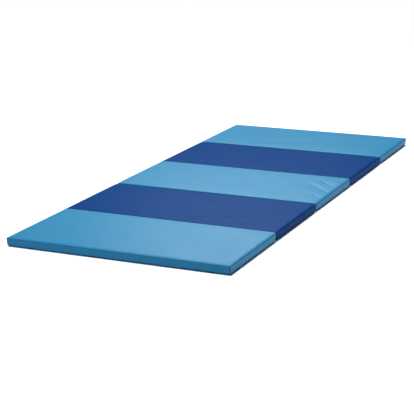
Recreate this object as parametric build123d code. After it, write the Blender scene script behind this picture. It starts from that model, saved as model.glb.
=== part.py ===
from build123d import *

import os
from dataclasses import dataclass

# Folding landing mat: five foam panels in coated cloth covers, joined by cloth hinge tapes.
# Millimetres. +Z is up, +Y runs along the mat from panel 1 to the last panel, and +X is across it.
# The origin is the middle of the footprint, on the floor.

# ---- overall sizes -------------------------------------------------------------------------
MAT_LENGTH = 1850.0  # over all the panels, laid flat
MAT_WIDTH = 780.0
MAT_THICKNESS = 32.0
PANEL_COUNT = 5

# ---- folds ---------------------------------------------------------------------------------
FOLD_GAP = 3.0  # open width between the end strips of two panels
TAPE_THICKNESS = 0.6

# ---- covers --------------------------------------------------------------------------------
CLOTH_THICKNESS = 0.6
SEAM_ALLOWANCE = 9.0  # cloth turned in at every seam
NOTCH = 1.5  # turned-in cloth is cut back this far from a corner seam

# ---- foam ----------------------------------------------------------------------------------
FIRM_FOAM_THICKNESS = 12.0  # closed-cell sheet next to the floor
FOAM_EASE = 1.0  # slack between the foam and the turned-in cloth
FOAM_CORNER_RADIUS = 5.0

PANEL_LENGTH = (MAT_LENGTH - (PANEL_COUNT - 1) * FOLD_GAP) / PANEL_COUNT
HALF_WIDTH = MAT_WIDTH / 2


def block(x, y, z):
    """A box over three (low, high) spans."""
    size = [high - low for low, high in (x, y, z)]
    return Pos(x[0], y[0], z[0]) * Box(*size, align=(Align.MIN, Align.MIN, Align.MIN))


def at_top(fold):
    """Odd folds close the top faces on each other, so their tape is at the top edge.

    Even folds close the undersides, and there is none (0) at a free end.
    """
    return fold % 2 == 1


@dataclass(frozen=True)
class Panel:
    """One section of the mat. A fold number of 0 means a free end."""

    number: int

    @property
    def front(self):
        return -MAT_LENGTH / 2 + (self.number - 1) * (PANEL_LENGTH + FOLD_GAP)

    @property
    def rear(self):
        return self.front + PANEL_LENGTH

    def fold(self, end):
        """The number of the fold at the "front" or "rear" end."""
        if end == "front":
            return self.number - 1
        return self.number if self.number < PANEL_COUNT else 0

    def has_tape(self, end, face):
        """Whether a hinge tape is caught in the seam of that end at the "top" or "bottom" face."""
        fold = self.fold(end)
        return fold > 0 and at_top(fold) == (face == "top")

    def inwards(self, end, near, far):
        """The y span from near to far, measured inwards from that end's outer face."""
        if end == "front":
            return (self.front + near, self.front + far)
        return (self.rear - far, self.rear - near)


def layer(face, near, far):
    """The z span from near to far, measured inwards from the mat's top or bottom face."""
    if face == "bottom":
        return (near, far)
    return (MAT_THICKNESS - far, MAT_THICKNESS - near)


def across(inset):
    """The x span that stops inset short of both long sides."""
    return (-HALF_WIDTH + inset, HALF_WIDTH - inset)


def beside(side, near, far):
    """The x span from near to far, measured inwards from the left or right long side."""
    if side == "left":
        return (-HALF_WIDTH + near, -HALF_WIDTH + far)
    return (HALF_WIDTH - far, HALF_WIDTH - near)


def cover_sheet(panel, face):
    """The top or bottom sheet of a cover, with its four seam allowances turned in."""
    sheet = block(across(0), (panel.front, panel.rear), layer(face, 0, CLOTH_THICKNESS))
    turned_in = layer(face, CLOTH_THICKNESS, CLOTH_THICKNESS + SEAM_ALLOWANCE)
    corner = SEAM_ALLOWANCE + NOTCH
    for side in ("left", "right"):
        wall = beside(side, CLOTH_THICKNESS, 2 * CLOTH_THICKNESS)
        sheet += block(wall, (panel.front + corner, panel.rear - corner), turned_in)
    for end in ("front", "rear"):
        outside = CLOTH_THICKNESS
        if panel.has_tape(end, face):
            outside += TAPE_THICKNESS
        wall = panel.inwards(end, outside, outside + CLOTH_THICKNESS)
        sheet += block(across(2 * CLOTH_THICKNESS + NOTCH), wall, turned_in)
    return sheet


def side_strip(panel, side):
    """The long-side strip of a cover, between its two sheets."""
    wall = beside(side, 0, CLOTH_THICKNESS)
    height = (CLOTH_THICKNESS, MAT_THICKNESS - CLOTH_THICKNESS)
    return block(wall, (panel.front, panel.rear), height)


def end_strip(panel, end):
    """The end strip of a cover, with a seam allowance turned along each side strip.

    Its edge stops below a hinge tape that passes over it.
    """
    low, high = CLOTH_THICKNESS, MAT_THICKNESS - CLOTH_THICKNESS
    if panel.has_tape(end, "bottom"):
        low += TAPE_THICKNESS
    if panel.has_tape(end, "top"):
        high -= TAPE_THICKNESS
    strip = block(across(CLOTH_THICKNESS), panel.inwards(end, 0, CLOTH_THICKNESS), (low, high))
    for side in ("left", "right"):
        wall = beside(side, CLOTH_THICKNESS, 2 * CLOTH_THICKNESS)
        strip += block(wall, panel.inwards(end, CLOTH_THICKNESS, SEAM_ALLOWANCE), (low, high))
    return strip


def foam_sheet(panel, low, high):
    """One layer of the core, between two heights, with rounded upright corners."""
    end_inset = 2 * CLOTH_THICKNESS + TAPE_THICKNESS + FOAM_EASE
    side_inset = 2 * CLOTH_THICKNESS + FOAM_EASE
    core = block(across(side_inset), (panel.front + end_inset, panel.rear - end_inset), (low, high))
    return fillet(core.edges().filter_by(Axis.Z), FOAM_CORNER_RADIUS)


def hinge_tape(fold):
    """The tape that joins two panels. It lies over both end strips, with a flange inside each cover."""
    before, after = Panel(fold), Panel(fold + 1)
    face = "top" if at_top(fold) else "bottom"
    width = across(2 * CLOTH_THICKNESS + NOTCH)
    reach = CLOTH_THICKNESS + TAPE_THICKNESS
    bridge = layer(face, CLOTH_THICKNESS, reach)
    tape = block(width, (before.rear - reach, after.front + reach), bridge)
    flange = layer(face, reach, CLOTH_THICKNESS + SEAM_ALLOWANCE)
    for panel, end in ((before, "rear"), (after, "front")):
        tape += block(width, panel.inwards(end, CLOTH_THICKNESS, reach), flange)
    return tape


def panel_pieces(panel):
    """The cover and the core of one panel, by name."""
    firm_top = CLOTH_THICKNESS + FIRM_FOAM_THICKNESS
    pieces = {
        "top_sheet": cover_sheet(panel, "top"),
        "bottom_sheet": cover_sheet(panel, "bottom"),
        "firm_foam": foam_sheet(panel, CLOTH_THICKNESS, firm_top),
        "soft_foam": foam_sheet(panel, firm_top, MAT_THICKNESS - CLOTH_THICKNESS),
    }
    for side in ("left", "right"):
        pieces[f"{side}_side_strip"] = side_strip(panel, side)
    for end in ("front", "rear"):
        pieces[f"{end}_end_strip"] = end_strip(panel, end)
    return {f"panel_{panel.number}_{name}": piece for name, piece in pieces.items()}


mat = {}
for number in range(1, PANEL_COUNT + 1):
    mat.update(panel_pieces(Panel(number)))
for fold in range(1, PANEL_COUNT):
    mat[f"hinge_tape_{fold}_{fold + 1}"] = hinge_tape(fold)

os.makedirs("parts", exist_ok=True)
for name, piece in mat.items():
    export_step(piece, f"parts/{name}.step")
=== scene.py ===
import logging
import math
from collections.abc import Callable, Iterator
from contextlib import contextmanager
from dataclasses import dataclass
from enum import Enum
from functools import cache

import bmesh
import bpy
import numpy as np
from mathutils import Matrix, Vector


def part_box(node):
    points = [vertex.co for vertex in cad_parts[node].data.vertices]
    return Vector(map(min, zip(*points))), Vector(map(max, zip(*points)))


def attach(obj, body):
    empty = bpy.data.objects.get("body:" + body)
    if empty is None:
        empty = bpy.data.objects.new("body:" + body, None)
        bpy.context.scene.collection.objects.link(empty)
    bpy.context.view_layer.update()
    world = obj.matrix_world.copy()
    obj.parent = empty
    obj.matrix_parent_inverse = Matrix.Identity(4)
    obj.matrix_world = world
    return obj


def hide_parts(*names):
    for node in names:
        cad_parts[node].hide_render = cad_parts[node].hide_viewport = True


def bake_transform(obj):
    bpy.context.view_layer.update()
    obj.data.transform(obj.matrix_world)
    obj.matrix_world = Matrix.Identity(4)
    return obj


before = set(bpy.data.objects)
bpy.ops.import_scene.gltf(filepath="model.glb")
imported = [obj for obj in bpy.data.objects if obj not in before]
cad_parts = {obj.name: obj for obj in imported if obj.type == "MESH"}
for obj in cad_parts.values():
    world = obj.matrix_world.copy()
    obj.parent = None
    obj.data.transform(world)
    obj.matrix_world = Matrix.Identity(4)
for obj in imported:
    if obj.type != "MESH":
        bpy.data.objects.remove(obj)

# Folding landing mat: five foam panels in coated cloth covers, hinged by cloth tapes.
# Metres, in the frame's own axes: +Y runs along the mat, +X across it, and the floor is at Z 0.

log = logging.getLogger("mat")
MM = 0.001
PANEL_COUNT = 5
# Two heights or lengths that differ by less than this are taken as the same.
SAME_PLACE = 0.1 * MM


# ---- shader tools --------------------------------------------------------------------------


class Signal:
    """A shader socket that Python expressions can be written with."""

    def __init__(self, shader: "Shader", socket: bpy.types.NodeSocket) -> None:
        """Keep the socket and the shader that it belongs to."""
        self.shader = shader
        self.socket = socket

    def _math(self, operation: str, *values: "Signal | float") -> "Signal":
        """Add one Math node on these values."""
        return self.shader.signal("ShaderNodeMath", {"operation": operation}, dict(enumerate(values)))

    def __add__(self, other: "Signal | float") -> "Signal":
        """Return self + other."""
        return self._math("ADD", self, other)

    __radd__ = __add__

    def __sub__(self, other: "Signal | float") -> "Signal":
        """Return self - other."""
        return self._math("SUBTRACT", self, other)

    def __rsub__(self, other: "Signal | float") -> "Signal":
        """Return other - self."""
        return self._math("SUBTRACT", other, self)

    def __mul__(self, other: "Signal | float") -> "Signal":
        """Return self * other."""
        return self._math("MULTIPLY", self, other)

    __rmul__ = __mul__

    def sine(self) -> "Signal":
        """Return the sine, of an angle in radians."""
        return self._math("SINE", self)

    def size(self) -> "Signal":
        """Return the value without its sign."""
        return self._math("ABSOLUTE", self)

    def fall(self, start: float, end: float) -> "Signal":
        """Return 1 up to start, 0 from end, and a smooth slope in between."""
        return self.shader.signal(
            "ShaderNodeMapRange",
            {"interpolation_type": "SMOOTHSTEP"},
            {"Value": self, "From Min": start, "From Max": end, "To Min": 1.0, "To Max": 0.0},
        )


@dataclass(frozen=True)
class Grain:
    """A noise pattern: its features a metre, its layers of detail, and how strong the finer ones are."""

    scale: float
    detail: float = 3.0
    roughness: float = 0.5


class Shader:
    """A material in the making: one Principled surface and the nodes that feed it."""

    def __init__(self, name: str) -> None:
        """Start an empty material.

        Args:
            name: The material's name.
        """
        self.material = bpy.data.materials.new(name)
        self.material.use_nodes = True
        self.tree = self.material.node_tree
        self.tree.nodes.clear()
        self.surface = self.node("ShaderNodeBsdfPrincipled", {}, {})
        out = self.tree.nodes.new("ShaderNodeOutputMaterial")
        self.tree.links.new(self.surface.outputs["BSDF"], out.inputs["Surface"])

    def node(self, kind: str, settings: dict, inputs: dict) -> bpy.types.Node:
        """Add a node.

        Args:
            kind: The node's type.
            settings: Its settings by name.
            inputs: A value or a Signal for each socket, by name or number.

        Returns:
            The node.
        """
        node = self.tree.nodes.new(kind)
        for key, value in settings.items():
            setattr(node, key, value)
        for key, value in inputs.items():
            if isinstance(value, Signal):
                self.tree.links.new(value.socket, node.inputs[key])
            else:
                node.inputs[key].default_value = value
        return node

    def signal(self, kind: str, settings: dict, inputs: dict, output: str | int = 0) -> Signal:
        """Add a node and return one of its outputs.

        Args:
            kind: The node's type.
            settings: Its settings, as for node().
            inputs: Its sockets' values, as for node().
            output: The output's name or number.

        Returns:
            That output.
        """
        return Signal(self, self.node(kind, settings, inputs).outputs[output])

    def place(self, scale: tuple[float, float, float] = (1.0, 1.0, 1.0)) -> Signal:
        """Return the object coordinates, stretched by scale."""
        here = self.signal("ShaderNodeTexCoord", {}, {}, "Object")
        return self.signal("ShaderNodeMapping", {}, {"Vector": here, "Scale": scale})

    def noise(self, where: Signal, grain: Grain) -> Signal:
        """Return a noise of this grain, from 0 to 1."""
        inputs = {"Scale": grain.scale, "Detail": grain.detail, "Roughness": grain.roughness}
        return self.signal("ShaderNodeTexNoise", {}, {"Vector": where, **inputs})

    def mix(self, share: Signal | float, low: Signal | tuple, high: Signal | tuple) -> Signal:
        """Blend two colours.

        Args:
            share: How much of high there is, from 0 to 1.
            low: The colour at share 0.
            high: The colour at share 1.

        Returns:
            The blended colour.
        """
        low, high = (tone if isinstance(tone, Signal) else (*tone, 1.0) for tone in (low, high))
        # A colour Mix node keeps its colour sockets after those for numbers and vectors.
        return self.signal("ShaderNodeMix", {"data_type": "RGBA"}, {0: share, 6: low, 7: high}, 2)

    def bump(self, height: Signal, depth: float) -> None:
        """Shade the surface as if height, from 0 to 1, stood that many metres deep."""
        inputs = {"Height": height, "Distance": depth, "Strength": 1.0}
        self.feed("Normal", self.signal("ShaderNodeBump", {}, inputs))

    def feed(self, socket: str, value: "Signal | float | tuple") -> None:
        """Link a signal to a socket of the surface, or set a constant on it.

        Args:
            socket: The socket's name.
            value: The signal, number or colour.
        """
        if isinstance(value, Signal):
            self.tree.links.new(value.socket, self.surface.inputs[socket])
        else:
            constant = (*value, 1.0) if isinstance(value, tuple) else value
            self.surface.inputs[socket].default_value = constant


# ---- finishes ------------------------------------------------------------------------------


class Tone(Enum):
    """The cover's two colours, each with a name."""

    LIGHT = "light_cover"
    DARK = "dark_cover"


@dataclass(frozen=True)
class CoatedCloth:
    """Woven polyester with a smooth, slightly glossy coating.

    A relief is a height in millimetres. A shade is how far a mark goes towards another tone:
    a rubbed edge towards worn, and the rest towards one with deep times the colour's brightness.
    The weave's low places, between the threads, are painted darker as shade.
    """

    name: str
    colour: tuple[float, float, float]
    worn: tuple[float, float, float]
    roughness: float = 0.44
    gloss: float = 0.4
    cloud: Grain = Grain(7.0, 4.0, 0.55)
    fleck: Grain = Grain(320.0, 2.0, 0.6)
    cloud_share: float = 0.7
    cloud_roughness: float = 0.16
    fleck_roughness: float = 0.08
    deep: float = 0.35
    thread: float = 0.9 * MM
    weave_relief: float = 0.05
    painted_weave_shade: float = 0.07
    slub: Grain = Grain(90.0, 2.0)
    slub_stretch: float = 6.0
    slub_relief: float = 0.03
    wave: Grain = Grain(24.0)
    wave_relief: float = 0.35
    seam_half_width: float = 0.9 * MM
    seam_shade: float = 0.4
    seam_roughness: float = 0.2
    corner_half_width: float = 1.98 * MM
    corner_shade: float = 0.6
    groove_half_width: float = 1.2 * MM
    groove_relief: float = 0.25
    rub_start: float = 2.0 * MM
    rub_end: float = 9.0 * MM
    rub_shade: float = 0.25
    allowance: float = 9.0 * MM
    allowance_edge: float = 1.6 * MM
    allowance_relief: float = 0.06

    def weave(self, shader: Shader) -> Signal:
        """Weave the cloth along its flat pattern.

        Args:
            shader: The material that the weave is for.

        Returns:
            The height of a plain weave, from 0 to 1.
        """
        flat = shader.signal("ShaderNodeUVMap", {"uv_map": "Cloth"}, {})
        parts = shader.node("ShaderNodeSeparateXYZ", {}, {0: flat})
        turn = math.tau / (2 * self.thread)
        warp = (Signal(shader, parts.outputs[0]) * turn).sine()
        weft = (Signal(shader, parts.outputs[1]) * turn).sine()
        return warp * weft * 0.5 + 0.5

    def make(self) -> bpy.types.Material:
        """Build the material.

        Returns:
            The material, which reads the UV map "Cloth" and the attributes "seam" and "corner".
        """
        shader = Shader(self.name)
        here = shader.place()
        seam = shader.signal("ShaderNodeAttribute", {"attribute_name": "seam"}, {}, "Fac")
        corner = shader.signal("ShaderNodeAttribute", {"attribute_name": "corner"}, {}, "Fac")
        seam_line = seam.fall(0.0, self.seam_half_width) * self.seam_shade
        line = seam_line + corner.fall(0.0, self.corner_half_width) * self.corner_shade
        rub = seam.fall(self.rub_start, self.rub_end)

        cloud = shader.noise(here, self.cloud)
        fleck = shader.noise(here, self.fleck)
        tone = cloud * self.cloud_share + fleck * (1 - self.cloud_share)
        body = shader.mix(tone, self.colour, self.worn)
        edge = shader.mix(rub * self.rub_shade, body, self.worn)
        dark = tuple(part * self.deep for part in self.colour)
        weave = self.weave(shader)
        # The weave's low places, between the threads, get painted shade towards the dark tone; the seam
        # and corner lines are the stitched joints.
        shader.feed("Base Color", shader.mix(line + (1 - weave) * self.painted_weave_shade, edge, dark))
        patchy = (cloud - 0.5) * self.cloud_roughness + (fleck - 0.5) * self.fleck_roughness
        shader.feed("Roughness", self.roughness + patchy + line * self.seam_roughness)
        shader.feed("Specular IOR Level", self.gloss)

        slub = shader.noise(shader.place((self.slub_stretch, 1.0, 1.0)), self.slub)
        wave = shader.noise(here, self.wave)
        groove = seam.fall(0.0, self.groove_half_width) * self.groove_relief
        turned_in = (seam - self.allowance).size().fall(0.0, self.allowance_edge) * self.allowance_relief
        woven = weave * self.weave_relief + slub * self.slub_relief
        shader.bump(woven + wave * self.wave_relief + turned_in - groove, MM)
        return shader.material


@dataclass(frozen=True)
class Foam:
    """A cut foam slab, with its cells showing, and painted shade in their hollows."""

    name: str
    skin: tuple[float, float, float]
    pore_shadow_and_mottle: tuple[float, float, float]
    cell: float
    depth: float = 0.4 * MM
    pore_shade: float = 0.5
    pore_core: float = 0.1
    pore_rim: float = 0.6
    cloud: Grain = Grain(12.0)
    cloud_shade: float = 0.2
    roughness: float = 0.85
    cloud_roughness: float = 0.1

    def make(self) -> bpy.types.Material:
        """Build the material.

        Returns:
            The material.
        """
        shader = Shader(self.name)
        here = shader.place()
        inputs = {"Vector": here, "Scale": 1 / self.cell}
        cells = shader.signal("ShaderNodeTexVoronoi", {}, inputs, "Distance")
        cloud = shader.noise(here, self.cloud)
        # The hollows of the cells are painted darker, towards the pore tone, as shade; the cloud darkens
        # towards the same tone at random.
        pore_shadow = cells.fall(self.pore_core, self.pore_rim) * self.pore_shade
        shader.feed("Base Color", shader.mix(pore_shadow + cloud * self.cloud_shade, self.skin, self.pore_shadow_and_mottle))
        shader.feed("Roughness", self.roughness + (cloud - 0.5) * self.cloud_roughness)
        shader.bump(cells, self.depth)
        return shader.material


@dataclass(frozen=True)
class PaleFloor:
    """The plain floor that the mat lies on."""

    name: str = "pale_floor"
    colour: tuple[float, float, float] = (0.87, 0.87, 0.87)
    roughness: float = 0.9
    gloss: float = 0.1

    def make(self) -> bpy.types.Material:
        """Build the material.

        Returns:
            The material.
        """
        shader = Shader(self.name)
        shader.feed("Base Color", self.colour)
        shader.feed("Roughness", self.roughness)
        shader.feed("Specular IOR Level", self.gloss)
        return shader.material


CLOTHS = {
    Tone.LIGHT: CoatedCloth(
        "light_blue_coated_cloth",
        colour=(0.017, 0.166, 0.309),
        worn=(0.025, 0.182, 0.327),
        gloss=0.07,
    ),
    Tone.DARK: CoatedCloth(
        "dark_blue_coated_cloth",
        colour=(0.002, 0.033, 0.141),
        worn=(0.005, 0.041, 0.158),
        gloss=0.01,
    ),
}
TAPE_CLOTH = CoatedCloth(
    "hinge_tape_cloth",
    colour=(0.003, 0.035, 0.155),
    worn=(0.007, 0.043, 0.175),
    roughness=0.6,
    gloss=0.1,
)
FOAMS = {
    "firm_foam": Foam("closed_cell_foam", (0.75, 0.75, 0.72), (0.5, 0.5, 0.48), 1.6 * MM),
    "soft_foam": Foam("open_cell_foam", (0.88, 0.83, 0.66), (0.62, 0.56, 0.4), 0.9 * MM),
}


@cache
def material_of(finish: CoatedCloth | Foam | PaleFloor) -> bpy.types.Material:
    """Return the finish's material, built on its first use."""
    return finish.make()


# ---- mesh tools ----------------------------------------------------------------------------


def deselect() -> None:
    """Leave nothing selected."""
    for other in list(bpy.context.selected_objects):
        other.select_set(False)
    bpy.context.view_layer.objects.active = None


def pick(obj: bpy.types.Object) -> None:
    """Make obj the only selected object, and the active one."""
    deselect()
    obj.select_set(True)
    bpy.context.view_layer.objects.active = obj


@contextmanager
def editing(obj: bpy.types.Object) -> Iterator["Picker"]:
    """Edit obj's mesh, and come back to object mode afterwards.

    Args:
        obj: The object to edit.

    Yields:
        A picker for its edges.
    """
    pick(obj)
    bpy.ops.object.mode_set(mode="EDIT")
    bpy.ops.mesh.select_all(action="DESELECT")
    yield Picker(obj)
    bpy.ops.object.mode_set(mode="OBJECT")


class Picker:
    """Selects edges in edit mode by a test on them."""

    def __init__(self, obj: bpy.types.Object) -> None:
        """Keep the object that is being edited."""
        self.obj = obj

    def edges(self, test: Callable[[bmesh.types.BMEdge], bool]) -> None:
        """Select just the edges that pass a test.

        Args:
            test: Says whether an edge is to be selected.
        """
        bpy.ops.mesh.select_all(action="DESELECT")
        bpy.ops.mesh.select_mode(type="EDGE")
        mesh = bmesh.from_edit_mesh(self.obj.data)
        for edge in [edge for edge in mesh.edges if test(edge)]:
            edge.select_set(True)
        bmesh.update_edit_mesh(self.obj.data)

    def edges_along(self, axis: int, shortest: float) -> None:
        """Select just the edges that run further than shortest along this axis."""
        self.edges(lambda edge: abs((edge.verts[0].co - edge.verts[1].co)[axis]) > shortest)


def points(obj: bpy.types.Object) -> np.ndarray:
    """Read a mesh's vertices.

    Args:
        obj: The mesh's object.

    Returns:
        Rows of x, y, z.
    """
    flat = np.zeros(len(obj.data.vertices) * 3)
    obj.data.vertices.foreach_get("co", flat)
    return flat.reshape(-1, 3)


def set_points(obj: bpy.types.Object, places: np.ndarray) -> None:
    """Move the mesh's vertices to these rows of x, y, z."""
    obj.data.vertices.foreach_set("co", places.ravel())
    obj.data.update()


def apply_modifiers(obj: bpy.types.Object) -> None:
    """Apply every modifier of obj, in order."""
    pick(obj)
    for modifier in list(obj.modifiers):
        bpy.ops.object.modifier_apply(modifier=modifier.name)


def smooth(obj: bpy.types.Object) -> None:
    """Shade the whole mesh smooth."""
    pick(obj)
    bpy.ops.object.shade_smooth()


def wear(obj: bpy.types.Object, finish: CoatedCloth | Foam | PaleFloor) -> None:
    """Give obj just this finish."""
    obj.data.materials.clear()
    obj.data.materials.append(material_of(finish))


def soft_step(value: np.ndarray, low: float, high: float) -> np.ndarray:
    """Return 0 up to low, 1 from high, and a smooth slope in between."""
    share = np.clip((value - low) / (high - low), 0.0, 1.0)
    return share * share * (3 - 2 * share)


def spread_out(obj: bpy.types.Object, moves: np.ndarray, passes: int) -> np.ndarray:
    """Even out moves between neighbouring vertices.

    Args:
        obj: The object whose mesh says which vertices are neighbours.
        moves: One row for each vertex.
        passes: How many times each row is averaged with its neighbours' mean.

    Returns:
        The evened moves.
    """
    ends = np.zeros(len(obj.data.edges) * 2, int)
    obj.data.edges.foreach_get("vertices", ends)
    first, second = ends.reshape(-1, 2).T
    count = np.bincount(ends, minlength=len(moves))[:, None]
    for _ in range(passes):
        total = np.zeros_like(moves)
        np.add.at(total, first, moves[second])
        np.add.at(total, second, moves[first])
        moves = (moves + total / count) / 2
    return moves


MODELS: dict[str, tuple[bpy.types.Mesh, Vector]] = {}


def repeated(
    kind: str, name: str, place: Vector, model: Callable[[], bpy.types.Object]
) -> bpy.types.Object:
    """Model a piece that the mat has several of, or copy the first one.

    Args:
        kind: What the alike pieces have in common.
        name: This piece's own name.
        place: A corner of this piece, the same one for all of its kind.
        model: Models the first piece of the kind.

    Returns:
        The piece, with its own mesh.
    """
    if kind in MODELS:
        mesh, first = MODELS[kind]
        piece = bpy.data.objects.new(name, mesh.copy())
        piece.data.transform(Matrix.Translation(place - first))
        bpy.context.scene.collection.objects.link(piece)
    else:
        piece = model()
        piece.name = name
        MODELS[kind] = piece.data.copy(), place
    piece.data.name = name
    return piece


def box_around(nodes: list[str]) -> tuple[Vector, Vector]:
    """Measure several CAD nodes together.

    Args:
        nodes: The nodes' names.

    Returns:
        The lowest and the highest corner around them.
    """
    boxes = [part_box(node) for node in nodes]
    low = Vector(min(box[0][axis] for box in boxes) for axis in range(3))
    high = Vector(max(box[1][axis] for box in boxes) for axis in range(3))
    return low, high


# ---- the panels ----------------------------------------------------------------------------

COVER_NODES = (
    "top_sheet",
    "bottom_sheet",
    "left_side_strip",
    "right_side_strip",
    "front_end_strip",
    "rear_end_strip",
)


@dataclass
class Slab:
    """A block with rounded edges, cut into an even grid of faces."""

    low: Vector
    high: Vector
    radius: float
    cell: float
    rounds: int = 4

    def build(self) -> bpy.types.Object:
        """Model the slab.

        Returns:
            The object, at the origin, with its place in its mesh.
        """
        centre, size = (self.low + self.high) / 2, self.high - self.low
        deselect()
        bpy.ops.mesh.primitive_cube_add(size=1.0, location=centre, scale=size)
        slab = bpy.context.active_object
        bpy.ops.object.transform_apply(location=True, rotation=True, scale=True)
        with editing(slab) as picker:
            bpy.ops.mesh.select_all(action="SELECT")
            bpy.ops.mesh.bevel(offset=self.radius, segments=self.rounds, affect="EDGES")
            for axis in range(3):
                flat_length = size[axis] - 2 * self.radius
                cuts = max(1, round(flat_length / self.cell) - 1)
                picker.edges_along(axis, flat_length / 2)
                bpy.ops.mesh.subdivide(number_cuts=cuts)
            bpy.ops.mesh.select_all(action="SELECT")
            bpy.ops.mesh.normals_make_consistent(inside=False)
        return slab


class End(Enum):
    """How a panel's edge is sewn."""

    FREE = "free"
    TOP_TAPE = "top tape"
    BOTTOM_TAPE = "bottom tape"
    BOTTOM_TAPE_FULL = "bottom tape, on a fuller panel"

    @classmethod
    def beside(cls, fold: int, tone: Tone) -> "End":
        """Say how a panel is sewn at one of its folds.

        Args:
            fold: The fold's number, where the first and last are the mat's own ends.
            tone: The panel's colour.

        Returns:
            The kind of end.
        """
        if fold in (0, PANEL_COUNT):
            return cls.FREE
        if fold % 2:
            return cls.TOP_TAPE
        return cls.BOTTOM_TAPE_FULL if tone is Tone.DARK else cls.BOTTOM_TAPE


@dataclass(frozen=True)
class EdgeForm:
    """How the cover's surface turns over an edge.

    The top rolls down by roll_drop over roll, or stands up where that is negative, and droops
    before that by droop of the crown. The bottom lifts by tuck_lift over tuck. The face beside
    the edge leans inwards by lean from top to bottom, and its top is pulled outwards by reach.
    Where the edge ends at a side of the panel, the upright seam keeps back hold of the drop.
    """

    roll: float
    roll_drop: float
    droop: float
    tuck: float
    tuck_lift: float
    lean: float = 0.0
    reach: float = 0.0
    hold: float = 0.0

    def drop(self, away: np.ndarray) -> np.ndarray:
        """Return how far the top is rolled down at these distances from the edge."""
        inner = np.clip(1 - away / self.roll, 0.0, 1.0)
        return self.roll_drop * (1 - np.sqrt(1 - inner**2))

    def lift(self, away: np.ndarray) -> np.ndarray:
        """Return how far the bottom is lifted at these distances from the edge."""
        return self.tuck_lift * np.clip(1 - away / self.tuck, 0.0, 1.0) ** 2


EDGE_FORMS = {
    End.FREE: EdgeForm(
        roll=10.0 * MM,
        roll_drop=4.5 * MM,
        droop=1.0,
        tuck=10.0 * MM,
        tuck_lift=3.2 * MM,
        lean=1.6 * MM,
        hold=0.55,
    ),
    End.TOP_TAPE: EdgeForm(
        roll=3.2 * MM,
        roll_drop=-1.7 * MM,
        droop=0.3,
        tuck=7.0 * MM,
        tuck_lift=1.0 * MM,
        reach=1.3 * MM,
        hold=0.7,
    ),
    End.BOTTOM_TAPE: EdgeForm(
        roll=7.0 * MM,
        roll_drop=3.0 * MM,
        droop=1.0,
        tuck=20.0 * MM,
        tuck_lift=2.0 * MM,
        reach=0.4 * MM,
    ),
    End.BOTTOM_TAPE_FULL: EdgeForm(
        roll=20.0 * MM,
        roll_drop=7.0 * MM,
        droop=1.0,
        tuck=28.0 * MM,
        tuck_lift=3.0 * MM,
        reach=0.4 * MM,
    ),
}


@dataclass(frozen=True)
class Crease:
    """A soft ridge or furrow in a top sheet, from start to end (x, y), bowed sideways between them."""

    start: tuple[float, float]
    end: tuple[float, float]
    height: float
    width: float
    bow: float = 0.0

    def lift(self, spots: np.ndarray) -> np.ndarray:
        """Return how far this crease lifts each spot.

        Args:
            spots: Rows of x, y.

        Returns:
            One height for each row.
        """
        line = np.array(self.end) - np.array(self.start)
        length = np.hypot(*line)
        x, y = (spots - np.array(self.start)).T
        share = (x * line[0] + y * line[1]) / length**2
        along = np.clip(share, 0.0, 1.0)
        rise = np.sin(np.pi * along)
        sideways = (x * line[1] - y * line[0]) / length - self.bow * rise
        away = np.hypot(sideways, (share - along) * length)
        return self.height * rise**0.7 * np.exp(-((away / self.width) ** 2))


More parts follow.
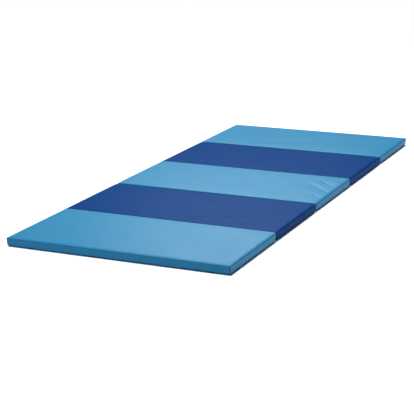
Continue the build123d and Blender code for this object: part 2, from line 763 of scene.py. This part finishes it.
@dataclass(frozen=True)
class Settling:
    """How the cloth of a cover settles on its foam, with its seams drawn in by their stitching.

    The foam holds the cloth more firmly within rim of a seam. The shrinkage is what the cloth
    loses far from the stitching and at it. What the simulation gives is weakened near the
    seams, evened and strengthened away from them, and kept within lowest and highest, because
    a tight cover shows little of it.
    """

    rim: float = 12.0 * MM
    rim_grip: float = 0.75
    inner_grip: float = 0.35
    grip_stiffness: float = 0.4
    stitching_width: float = 8.0 * MM
    shrinkage: tuple[float, float] = (-0.012, 0.03)
    quality: int = 6
    mass: float = 0.3
    stretch_stiffness: float = 25.0
    shear_stiffness: float = 12.0
    bending_stiffness: float = 0.6
    pressure: float = 1.5
    frames: int = 16
    evening: int = 12
    seam_reach: float = 30.0 * MM
    seam_gain: float = 0.3
    inner_gain: float = 2.2
    sideways: float = 0.3
    lowest: float = -1.4 * MM
    highest: float = 0.9 * MM

    def hold(self, cover: bpy.types.Object, seam: np.ndarray) -> None:
        """Pin the cloth softly to the foam, and mark its stitching.

        Args:
            cover: The cover as it was cut.
            seam: How far each of its vertices is from the nearest seam.
        """
        foam = cover.vertex_groups.new(name="foam")
        stitching = cover.vertex_groups.new(name="stitching")
        for index, away in enumerate(seam):
            foam.add([index], self.inner_grip if away > self.rim else self.rim_grip, "REPLACE")
            stitching.add([index], math.exp(-((away / self.stitching_width) ** 2)), "REPLACE")

    def run(self, cover: bpy.types.Object) -> None:
        """Let the cloth settle, and keep its last shape.

        Args:
            cover: The cover, with its foam and stitching marked.
        """
        cloth = cover.modifiers.new("cloth", "CLOTH")
        settings = cloth.settings
        settings.quality = self.quality
        settings.mass = self.mass
        settings.tension_stiffness = settings.compression_stiffness = self.stretch_stiffness
        settings.shear_stiffness = self.shear_stiffness
        settings.bending_stiffness = self.bending_stiffness
        settings.use_pressure = True
        settings.uniform_pressure_force = self.pressure
        settings.vertex_group_mass = "foam"
        settings.pin_stiffness = self.grip_stiffness
        settings.vertex_group_shrink = "stitching"
        settings.shrink_min, settings.shrink_max = self.shrinkage
        settings.effector_weights.gravity = 0.0
        cloth.point_cache.frame_end = self.frames
        for number in range(1, self.frames + 1):
            bpy.context.scene.frame_set(number)
        apply_modifiers(cover)
        bpy.context.scene.frame_set(1)

    def moves(self, cover: bpy.types.Object, seam: np.ndarray) -> np.ndarray:
        """Work out how the cloth settles.

        Args:
            cover: The cover as it was cut. Its mesh is moved.
            seam: How far each of its vertices is from the nearest seam.

        Returns:
            How far each vertex moves.
        """
        flat = points(cover)
        self.hold(cover, seam)
        self.run(cover)
        moved = points(cover) - flat
        eased = spread_out(cover, moved, self.evening)
        near = np.exp(-seam / self.seam_reach)[:, None]
        moved = moved * near * self.seam_gain + eased * (1 - near) * self.inner_gain
        return np.clip(moved * np.array((self.sideways, self.sideways, 1.0)), self.lowest, self.highest)


@dataclass
class PanelCover:
    """The sewn cover of one panel, filled with foam.

    The crown ends headroom under the panel's full height, and nothing stands more than ceiling
    over that height. What shapes the top fades out downwards, to upper_from of the height, and
    what lifts the bottom fades out upwards, to lower_to of it.
    """

    number: int
    tone: Tone
    ends: tuple[End, End]
    creases: tuple[Crease, ...] = ()
    margin: float = 0.6 * MM
    edge_radius: float = 3.2 * MM
    cell: float = 7.0 * MM
    crown: float = 1.3 * MM
    headroom: float = 0.35 * MM
    ceiling: float = 0.35 * MM
    upper_from: float = 0.25
    lower_to: float = 0.75
    droop_width: float = 16.0 * MM
    lean_width: float = 40.0 * MM
    lean_curve: float = 1.5
    corner_width: float = 15.0 * MM
    settling: Settling = Settling()

    def __post_init__(self) -> None:
        """Work out the box that the cover is cut to."""
        low, high = box_around(self.nodes)
        self.low = low + Vector((self.margin, self.margin, 0.0))
        self.high = high - Vector((self.margin, self.margin, self.crown))

    @property
    def body(self) -> str:
        """The CAD body that the cover rides on."""
        return f"panel_{self.number}"

    @property
    def nodes(self) -> list[str]:
        """The CAD nodes that the cover stands for."""
        return [f"{self.body}_{part}" for part in COVER_NODES]

    def build(self) -> bpy.types.Object:
        """Cut, fill, shape and dress the cover.

        Returns:
            The finished cover.
        """
        slab = Slab(self.low, self.high, self.edge_radius, self.cell)
        cover = repeated("cover", f"{self.body}_cover", self.low, slab.build)
        flat = points(cover)
        attribute = cover.data.attributes.new("flat", "FLOAT_VECTOR", "POINT")
        attribute.data.foreach_set("vector", flat.ravel())
        set_points(cover, flat + self.settling.moves(cover, self.seam_distance(flat)))
        finer = cover.modifiers.new("finer", "SUBSURF")
        finer.levels = finer.render_levels = 1
        apply_modifiers(cover)
        self.shape(cover)
        self.mark(cover)
        smooth(cover)
        wear(cover, CLOTHS[self.tone])
        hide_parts(*self.nodes)
        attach(cover, self.body)
        return cover

    def shape(self, cover: bpy.types.Object) -> None:
        """Crown the cover, round and lift it at its edges, and press its creases in.

        Args:
            cover: The cover, whose mesh is moved.
        """
        places, flat = points(cover), self.flat_places(cover)
        height = (flat[:, 2] - self.low.z) / (self.high.z - self.low.z)
        upper, lower = soft_step(height, self.upper_from, 1.0), 1 - soft_step(height, 0.0, self.lower_to)
        side = np.minimum(flat[:, 0] - self.low.x, self.high.x - flat[:, 0])
        edges = (
            (End.FREE, side),
            (self.ends[0], flat[:, 1] - self.low.y),
            (self.ends[1], self.high.y - flat[:, 1]),
        )
        forms = [(EDGE_FORMS[end], away) for end, away in edges]
        droop = np.max([form.droop * np.exp(-away / self.droop_width) for form, away in forms], 0)
        drops = np.array([form.drop(away) for form, away in forms])
        corners = [(form.hold, np.hypot(side, away)) for form, away in forms[1:]]
        held = np.max([hold * np.exp(-away / self.corner_width) for hold, away in corners], 0)
        drop = drops.max(0) * (1 - held) + np.minimum(drops.min(0), 0.0)
        lift = np.max([form.lift(away) for form, away in forms], 0)
        places[:, 2] += upper * ((self.crown - self.headroom) * (1 - droop) - drop) + lower * lift
        for crease in self.creases:
            places[:, 2] += upper * crease.lift(flat[:, :2])
        sides = np.sign(flat[:, 0]), np.full(len(flat), -1.0), np.full(len(flat), 1.0)
        for (form, away), outwards, axis in zip(forms, sides, (0, 1, 1)):
            near = np.clip(1 - away / self.lean_width, 0.0, 1.0)
            leaning = form.lean * (1 - height) ** self.lean_curve
            places[:, axis] += outwards * near * (form.reach * upper - leaning)
        places[:, 2] = np.clip(places[:, 2], 0.0, self.high.z + self.crown + self.ceiling)
        set_points(cover, places)

    @property
    def seam_depth(self) -> float:
        """How far the middle of a rounded edge is from where the sharp edge would be."""
        return (math.sqrt(2) - 1) * self.edge_radius

    def inner_distance(self, flat: np.ndarray) -> np.ndarray:
        """Return how far each place on the cut cover is inside its box, along x, y and z."""
        return np.minimum(flat - np.array(self.low), np.array(self.high) - flat)

    def seam_distance(self, flat: np.ndarray) -> np.ndarray:
        """Measure how far places on the cut cover are from their nearest seams.

        Args:
            flat: The places, as rows of x, y, z.

        Returns:
            One distance for each row.
        """
        x, y, z = np.abs(self.inner_distance(flat)).T
        edge = np.minimum(np.minimum(np.hypot(x, y), np.hypot(y, z)), np.hypot(x, z))
        return np.maximum(edge - self.seam_depth, 0.0)

    def corner_distance(self, flat: np.ndarray) -> np.ndarray:
        """Measure how far places on the cut cover are from their nearest upright seams.

        Args:
            flat: The places, as rows of x, y, z.

        Returns:
            One distance for each row.
        """
        x, y, _ = np.abs(self.inner_distance(flat)).T
        return np.maximum(np.hypot(x, y) - self.seam_depth, 0.0)

    def flat_places(self, cover: bpy.types.Object) -> np.ndarray:
        """Read where each vertex was when the cover was cut.

        Args:
            cover: The cover, which still has its attribute "flat".

        Returns:
            Rows of x, y, z.
        """
        flat = np.zeros(len(cover.data.vertices) * 3)
        cover.data.attributes["flat"].data.foreach_get("vector", flat)
        return flat.reshape(-1, 3)

    def mark(self, cover: bpy.types.Object) -> None:
        """Store the seam distances and the cloth's flat pattern on the mesh.

        Args:
            cover: The cover, which loses its attribute "flat".
        """
        mesh, flat = cover.data, self.flat_places(cover)
        distances = {"seam": self.seam_distance(flat), "corner": self.corner_distance(flat)}
        for name, distance in distances.items():
            mesh.attributes.new(name, "FLOAT", "POINT").data.foreach_set("value", distance)
        corners = np.zeros(len(mesh.loops), int)
        mesh.loops.foreach_get("vertex_index", corners)
        facing = self.inner_distance(flat)[corners].reshape(-1, 4, 3).mean(1).argmin(1)
        across = np.array([(1, 2), (0, 2), (0, 1)])[facing]
        pattern = np.take_along_axis(flat[corners].reshape(-1, 4, 3), across[:, None, :].repeat(4, 1), 2)
        mesh.uv_layers.new(name="Cloth").data.foreach_set("uv", pattern.ravel())
        mesh.attributes.remove(mesh.attributes["flat"])


@dataclass
class FoamLayer:
    """One layer of a panel's core, squeezed round at its outer edges by the cover."""

    panel: int
    layer: str
    squeeze: float = 3.0 * MM
    ease: float = 4.5 * MM
    outer_radius: float = 9.0 * MM
    outer_steps: int = 4
    corner_radius: float = 8.0 * MM
    corner_steps: int = 3
    cell: float = 40.0 * MM
    smooth_angle: float = 35.0

    @property
    def node(self) -> str:
        """The CAD node that the layer stands for."""
        return f"panel_{self.panel}_{self.layer}"

    def model(self) -> bpy.types.Object:
        """Cut the layer and round its edges.

        Returns:
            The layer, without its finish.
        """
        low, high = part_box(self.node)
        upper = self.layer == "soft_foam"
        outside, inside = (high.z - self.squeeze, low.z) if upper else (low.z + self.squeeze, high.z)
        deselect()
        ease = 2 * self.ease
        size = Vector((high.x - low.x - ease, high.y - low.y - ease, abs(outside - inside)))
        centre = Vector(((low.x + high.x) / 2, (low.y + high.y) / 2, (outside + inside) / 2))
        bpy.ops.mesh.primitive_cube_add(size=1.0, location=centre, scale=size)
        foam = bpy.context.active_object
        bpy.ops.object.transform_apply(location=True, rotation=True, scale=True)
        with editing(foam) as picker:
            picker.edges_along(2, size.z / 2)
            bpy.ops.mesh.bevel(offset=self.corner_radius, segments=self.corner_steps, affect="EDGES")
            picker.edges(lambda edge: all(abs(vert.co.z - outside) < SAME_PLACE for vert in edge.verts))
            radius = min(self.outer_radius, size.z - MM)
            bpy.ops.mesh.bevel(offset=radius, segments=self.outer_steps, affect="EDGES")
            for axis in range(2):
                picker.edges_along(axis, size[axis] / 2)
                bpy.ops.mesh.subdivide(number_cuts=round(size[axis] / self.cell))
            bpy.ops.mesh.select_all(action="SELECT")
            bpy.ops.mesh.normals_make_consistent(inside=False)
        pick(foam)
        bpy.ops.object.shade_smooth_by_angle(angle=math.radians(self.smooth_angle))
        return foam

    def build(self) -> bpy.types.Object:
        """Make the layer and dress it.

        Returns:
            The finished layer.
        """
        foam = repeated(self.layer, f"{self.node}_slab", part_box(self.node)[0], self.model)
        wear(foam, FOAMS[self.layer])
        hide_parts(self.node)
        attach(foam, f"panel_{self.panel}")
        return foam


@dataclass
class HingeTape:
    """The cloth tape between two panels, sewn into the seams of both covers.

    It stops short of the rounded corners at both sides of the mat, reaches tuck past each end
    face, and is turned in by flange from there.
    """

    fold: int
    at_top: bool
    top_level: float = 1.3 * MM
    bottom_level: float = 3.1 * MM
    short: float = 11.0 * MM
    tuck: float = 2.6 * MM
    flange: float = 7.0 * MM
    flange_steps: int = 3
    thickness: float = 0.6 * MM
    sag: float = 0.9 * MM
    bend_margin: float = 0.4 * MM
    width_steps: int = 96
    reach_steps: int = 16

    @property
    def node(self) -> str:
        """The CAD node that the tape stands for."""
        return f"hinge_tape_{self.fold}_{self.fold + 1}"

    @property
    def ends(self) -> tuple[float, float]:
        """Where the two panels' end faces are, along the mat."""
        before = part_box(f"panel_{self.fold}_rear_end_strip")[1].y
        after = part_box(f"panel_{self.fold + 1}_front_end_strip")[0].y
        return before, after

    @property
    def level(self) -> float:
        """The height that the tape is sewn in at."""
        floor, top = (end.z for end in box_around([f"panel_{self.fold}_{part}" for part in COVER_NODES]))
        return top - self.top_level if self.at_top else floor + self.bottom_level

    @property
    def size(self) -> tuple[float, float]:
        """The tape's width across the mat, and its reach from seam to seam."""
        low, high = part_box(self.node)
        before, after = self.ends
        return high.x - low.x - 2 * self.short, after - before + 2 * self.tuck

    def model(self) -> bpy.types.Object:
        """Cut the tape, turn its long edges in and let it sag.

        Returns:
            The tape, without its finish.
        """
        (width, reach), level, middle = self.size, self.level, sum(self.ends) / 2
        inwards = -1.0 if self.at_top else 1.0
        deselect()
        bpy.ops.mesh.primitive_grid_add(
            x_subdivisions=self.width_steps,
            y_subdivisions=self.reach_steps,
            size=1.0,
            location=(0.0, middle, level),
        )
        tape = bpy.context.active_object
        tape.scale = (width, reach, 1.0)
        bpy.ops.object.transform_apply(location=True, rotation=True, scale=True)
        with editing(tape) as picker:
            inner = reach / 2 - SAME_PLACE
            picker.edges(lambda edge: all(abs(vert.co.y - middle) > inner for vert in edge.verts))
            for _ in range(self.flange_steps):
                turned_in = (0.0, 0.0, inwards * self.flange / self.flange_steps)
                bpy.ops.mesh.extrude_region_move(TRANSFORM_OT_translate={"value": turned_in})
        places = points(tape)
        share = np.clip(np.abs(places[:, 1] - middle) / (reach / 2), 0, 1)
        between = np.abs(places[:, 2] - level) < SAME_PLACE
        places[:, 2] += inwards * self.sag * (1 - share**2) * between
        set_points(tape, places)
        wall = tape.modifiers.new("wall", "SOLIDIFY")
        wall.thickness, wall.offset = self.thickness, 0.0
        apply_modifiers(tape)
        smooth(tape)
        return tape

    def build(self) -> bpy.types.Object:
        """Make the tape, in its place between its two panels, and dress it.

        Returns:
            The finished tape.
        """
        (before, after), (width, reach) = self.ends, self.size
        kind = "top tape" if self.at_top else "bottom tape"
        tape = repeated(kind, f"{self.node}_cloth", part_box(self.node)[0], self.model)
        wear(tape, TAPE_CLOTH)
        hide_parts(self.node)
        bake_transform(tape)
        return tape


CREASES = {
    1: (
        Crease((-0.33, -0.66), (-0.02, -0.80), -0.9 * MM, 24 * MM),
        Crease((-0.02, -0.62), (0.28, -0.84), -1.1 * MM, 28 * MM),
        Crease((0.20, -0.60), (0.37, -0.70), -0.8 * MM, 18 * MM),
    ),
    2: (
        Crease((-0.08, -0.53), (0.30, -0.38), -1.2 * MM, 20 * MM),
        Crease((-0.05, -0.42), (0.26, -0.28), -1.1 * MM, 18 * MM),
        Crease((0.12, -0.53), (0.37, -0.43), -1.1 * MM, 15 * MM),
        Crease((-0.30, -0.30), (-0.02, -0.42), -0.8 * MM, 22 * MM),
    ),
    3: (
        Crease((0.20, 0.03), (0.385, 0.03), -1.3 * MM, 55 * MM),
        Crease((0.25, 0.02), (0.375, -0.085), 1.5 * MM, 9 * MM, 5 * MM),
        Crease((0.27, 0.062), (0.384, -0.045), -1.9 * MM, 7 * MM, -4 * MM),
        Crease((0.272, 0.10), (0.386, 0.0), 1.7 * MM, 9 * MM, 6 * MM),
        Crease((0.295, 0.122), (0.387, 0.037), -2.0 * MM, 6.5 * MM, 3 * MM),
        Crease((0.31, 0.155), (0.387, 0.08), 1.3 * MM, 8 * MM, -3 * MM),
        Crease((0.325, -0.05), (0.382, -0.13), -1.1 * MM, 8 * MM, 4 * MM),
        Crease((-0.02, 0.12), (0.22, -0.14), -0.9 * MM, 24 * MM),
    ),
    4: (
        Crease((-0.30, 0.23), (0.05, 0.33), -0.9 * MM, 24 * MM),
        Crease((0.0, 0.24), (0.33, 0.38), -1.0 * MM, 24 * MM),
        Crease((-0.15, 0.40), (0.12, 0.49), -0.8 * MM, 20 * MM),
    ),
    5: (
        Crease((-0.25, 0.62), (0.12, 0.72), -0.9 * MM, 26 * MM),
        Crease((0.05, 0.74), (0.35, 0.86), -0.9 * MM, 26 * MM),
    ),
}


# ---- studio --------------------------------------------------------------------------------


@dataclass(frozen=True)
class Viewpoint:
    """Where the camera stands, how it is turned (in degrees), and how far it sees."""

    location: tuple[float, float, float]
    azimuth: float
    elevation: float
    roll: float
    lens: float
    sight: float = 100.0

    def make(self) -> None:
        """Add the camera and make it the scene's own."""
        angles = self.azimuth, self.elevation, self.roll
        azimuth, elevation, roll = (math.radians(angle) for angle in angles)
        level = Vector((math.cos(azimuth), math.sin(azimuth), 0.0))
        outwards = Vector((math.sin(azimuth), -math.cos(azimuth), 0.0))
        back = outwards * math.cos(elevation) + Vector((0.0, 0.0, math.sin(elevation)))
        upright = back.cross(level)
        right = level * math.cos(roll) + upright * math.sin(roll)
        up = upright * math.cos(roll) - level * math.sin(roll)
        camera = bpy.data.objects.new("camera", bpy.data.cameras.new("camera"))
        camera.data.lens = self.lens
        camera.data.clip_end = self.sight
        turned = Matrix((right, up, back)).transposed().to_4x4()
        camera.matrix_world = Matrix.Translation(self.location) @ turned
        bpy.context.scene.collection.objects.link(camera)
        bpy.context.scene.camera = camera


@dataclass(frozen=True)
class SoftBox:
    """A square studio light, aimed at a point."""

    name: str
    location: tuple[float, float, float]
    target: tuple[float, float, float]
    size: float
    power: float
    colour: tuple[float, float, float] = (1.0, 1.0, 1.0)

    def make(self) -> None:
        """Add the light."""
        data = bpy.data.lights.new(self.name, "AREA")
        data.shape, data.size, data.energy, data.color = "SQUARE", self.size, self.power, self.colour
        light = bpy.data.objects.new(self.name, data)
        light.location = self.location
        aim = Vector(self.target) - Vector(self.location)
        light.rotation_euler = aim.to_track_quat("-Z", "Y").to_euler()
        light.visible_camera = False
        bpy.context.scene.collection.objects.link(light)


@dataclass(frozen=True)
class Overhead:
    """An even light from above, like a wide diffuser over the whole floor."""

    name: str = "overhead_light"
    strength: float = 3.55
    spread: float = 16.0
    towards: tuple[float, float, float] = (0.15, -0.03, -1.0)

    def make(self) -> None:
        """Add the light."""
        data = bpy.data.lights.new(self.name, "SUN")
        data.energy, data.angle = self.strength, math.radians(self.spread)
        light = bpy.data.objects.new(self.name, data)
        light.rotation_euler = Vector(self.towards).to_track_quat("-Z", "Y").to_euler()
        bpy.context.scene.collection.objects.link(light)


@dataclass
class Studio:
    """The floor, the lights, the surroundings and the camera."""

    view: Viewpoint
    lights: tuple[SoftBox | Overhead, ...]
    daylight: float = 0.06
    floor_size: float = 60.0

    def build(self) -> None:
        """Set the studio up."""
        scene = bpy.context.scene
        scene.view_settings.view_transform = "Standard"
        world = bpy.data.worlds.new("studio")
        scene.world = world
        world.use_nodes = True
        surroundings = world.node_tree.nodes["Background"]
        surroundings.inputs["Color"].default_value = (1.0, 1.0, 1.0, 1.0)
        surroundings.inputs["Strength"].default_value = self.daylight
        deselect()
        bpy.ops.mesh.primitive_plane_add(size=self.floor_size, location=(0.0, 0.0, 0.0))
        floor = bpy.context.active_object
        floor.name = "floor"
        wear(floor, PaleFloor())
        for light in self.lights:
            light.make()
        self.view.make()


STUDIO = Studio(
    Viewpoint(
        (1.832, -4.2078, 1.2151), azimuth=24.771, elevation=15.543, roll=-0.847, lens=111.71
    ),
    (
        Overhead(),
        SoftBox("sheen_light", (-0.95, 2.3, 1.9), (0.1, -0.2, 0.0), size=1.35, power=48.0),
        SoftBox("middle_light", (0.05, -0.38, 1.3), (0.05, -0.38, 0.0), size=1.0, power=8.0),
        SoftBox(
            "front_light",
            (-1.1, -3.0, 0.4),
            (-0.3, -0.93, 0.0),
            size=1.0,
            power=13.0,
            colour=(0.1, 0.5, 1.0),
        ),
        SoftBox(
            "side_light",
            (3.7, 0.3, 0.6),
            (0.39, 0.2, 0.0),
            size=1.2,
            power=25.0,
            colour=(0.15, 0.6, 1.0),
        ),
    ),
)


def main() -> None:
    """Build the mat and the studio."""
    logging.basicConfig(level=logging.INFO, format="%(message)s")
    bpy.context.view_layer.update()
    for number in range(1, PANEL_COUNT + 1):
        tone = Tone.LIGHT if number % 2 else Tone.DARK
        ends = (End.beside(number - 1, tone), End.beside(number, tone))
        cover = PanelCover(number, tone, ends, CREASES.get(number, ())).build()
        log.info("%s: %d faces", cover.name, len(cover.data.polygons))
        for layer in FOAMS:
            foam = FoamLayer(number, layer).build()
            log.info("%s: %d faces", foam.name, len(foam.data.polygons))
    for fold in range(1, PANEL_COUNT):
        tape = HingeTape(fold, at_top=fold % 2 == 1).build()
        log.info("%s: %d faces", tape.name, len(tape.data.polygons))
    STUDIO.build()


if __name__ == "__main__":
    main()
